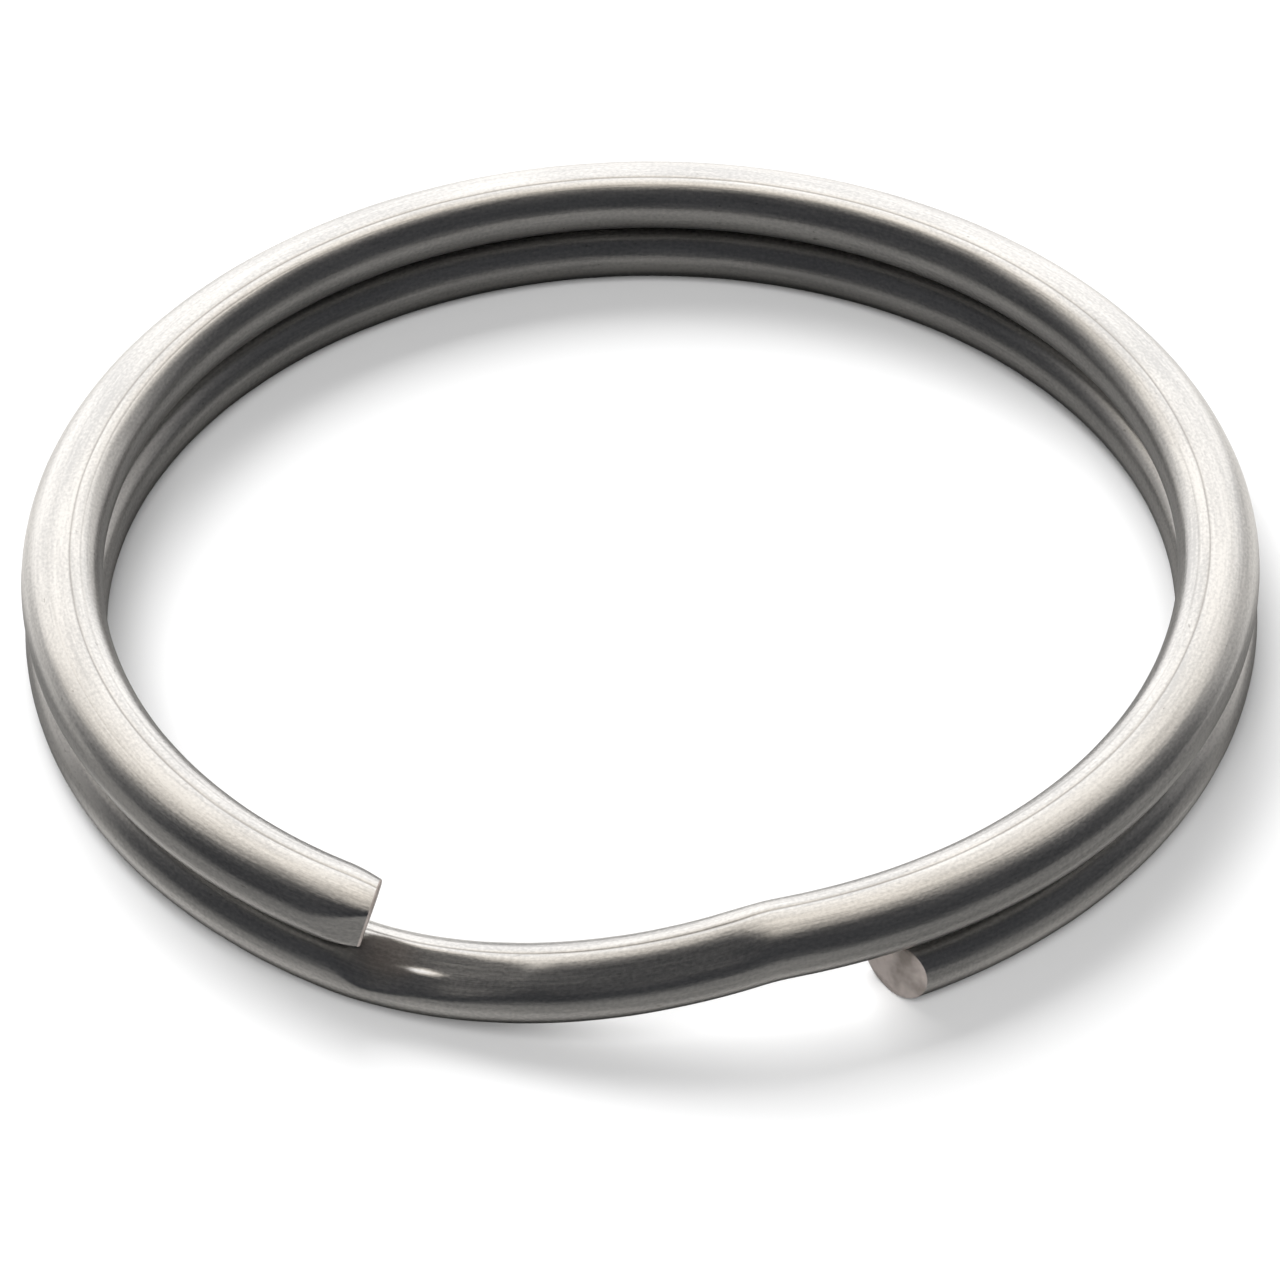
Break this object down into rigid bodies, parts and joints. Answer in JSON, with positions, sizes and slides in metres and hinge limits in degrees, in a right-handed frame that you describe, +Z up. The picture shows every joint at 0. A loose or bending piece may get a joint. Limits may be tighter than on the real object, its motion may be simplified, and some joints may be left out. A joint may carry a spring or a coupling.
{
  "type": "split key ring",
  "caption": "Split key ring: flattened spring-steel wire wound in two stacked turns with a crossover, both free ends sprung so that keys can be threaded on.",
  "frame": {"origin": "centre of the ring on the flat that it lies on, at the bottom of its bounding box", "axes": "+Z up along the ring's axis, from the lower turn to the upper one; +Y away from the crossover and the two free ends, +X towards the lower free end's side"},
  "size_m": [0.03, 0.03, 0.0032],
  "materials": {
    "spring_steel": "satin drawn wire, fine lengthwise lines, rolled flat above and below"
  },
  "bodies": {
    "lower_right_arc": {"lower_free_end": "spring_steel", "lower_turn_right_front": "spring_steel", "lower_turn_right": "spring_steel", "lower_turn_right_back": "spring_steel", "lower_turn_back_right": "spring_steel", "lower_turn_back": "spring_steel"},
    "middle_arc": {"lower_turn_back_left": "spring_steel", "lower_turn_left_back": "spring_steel", "lower_turn_left": "spring_steel", "lower_turn_front_left": "spring_steel", "crossover_foot": "spring_steel", "crossover_ramp": "spring_steel", "upper_turn_front_right": "spring_steel", "upper_turn_right_front": "spring_steel", "upper_turn_right": "spring_steel", "upper_turn_right_back": "spring_steel"},
    "upper_left_arc": {"upper_turn_back_right": "spring_steel", "upper_turn_back": "spring_steel", "upper_turn_back_left": "spring_steel", "upper_turn_left_back": "spring_steel", "upper_turn_left": "spring_steel", "upper_free_end": "spring_steel"}
  },
  "joints": [
    {"name": "lower_end_opening", "type": "hinge", "parent": "lower_right_arc", "child": "middle_arc", "pos_m": [-0.00547, 0.01289, 0.00073], "axis": [-0.9205, -0.3907, 0], "range_deg": [0, 7.1], "stiffness_Nm_per_rad": 1.41},
    {"name": "upper_end_opening", "type": "hinge", "parent": "middle_arc", "child": "upper_left_arc", "pos_m": [0.00642, 0.01244, 0.00235], "axis": [-0.8886, 0.4587, 0], "range_deg": [0, 7.1], "stiffness_Nm_per_rad": 1.41}
  ]
}
